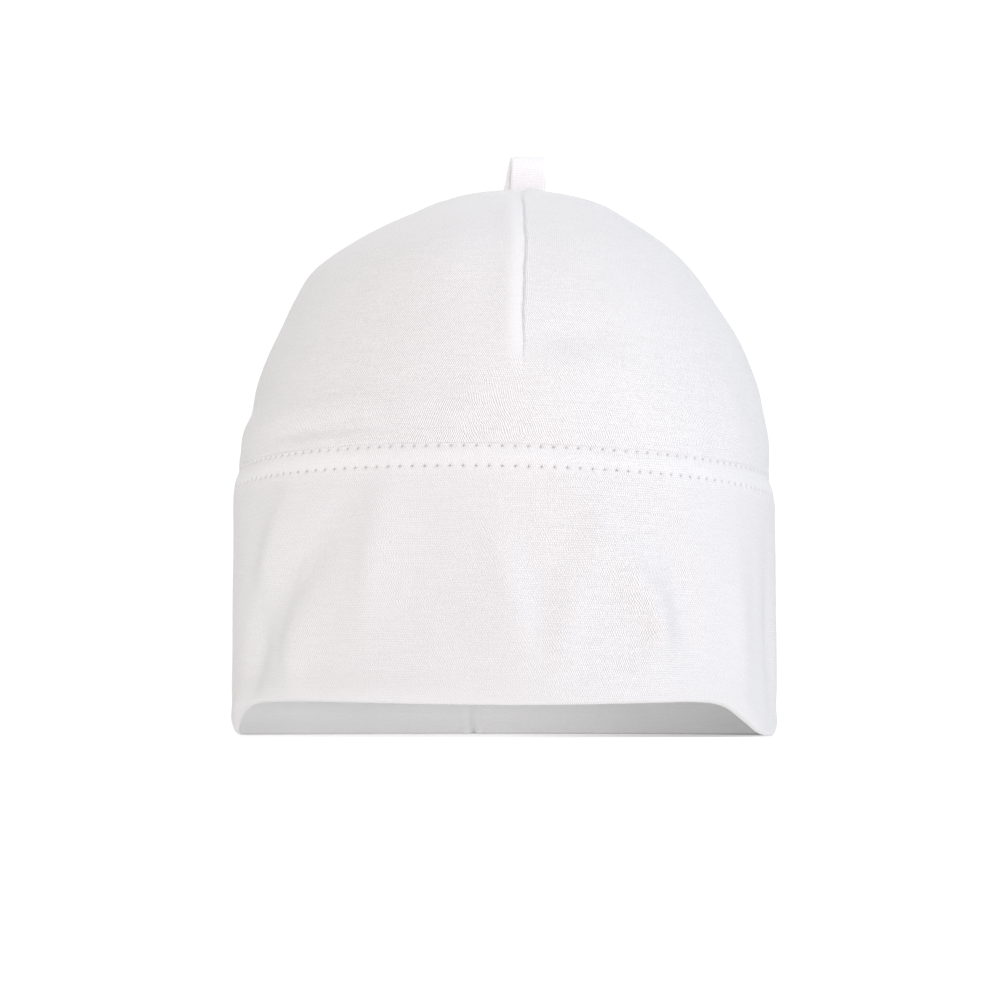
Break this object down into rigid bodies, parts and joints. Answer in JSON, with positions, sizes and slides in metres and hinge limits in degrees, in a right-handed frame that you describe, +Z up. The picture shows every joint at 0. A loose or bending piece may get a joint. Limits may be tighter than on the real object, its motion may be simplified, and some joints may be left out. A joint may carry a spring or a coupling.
{
  "type": "baby beanie",
  "caption": "Dome-shaped jersey baby hat with a darted crown, a wide double band sewn on with twin stitching, and a small hanging loop on top.",
  "frame": {"origin": "centre of the beanie's box, at the height of the surface that its rim stands on", "axes": "+Z up from the rim to the loop, front of the beanie towards -Y, +Y along the head from front to back, +X across the head from ear to ear"},
  "size_m": [0.1206, 0.134, 0.1321],
  "materials": {
    "band_jersey": "fine white cotton jersey, folded double, matte",
    "crown_jersey": "fine white cotton jersey, single layer, matte",
    "loop_jersey": "folded strip of white cotton jersey, matte"
  },
  "bodies": {
    "root": {"band": "band_jersey", "crown": "crown_jersey", "loop": "loop_jersey"}
  },
  "joints": []
}
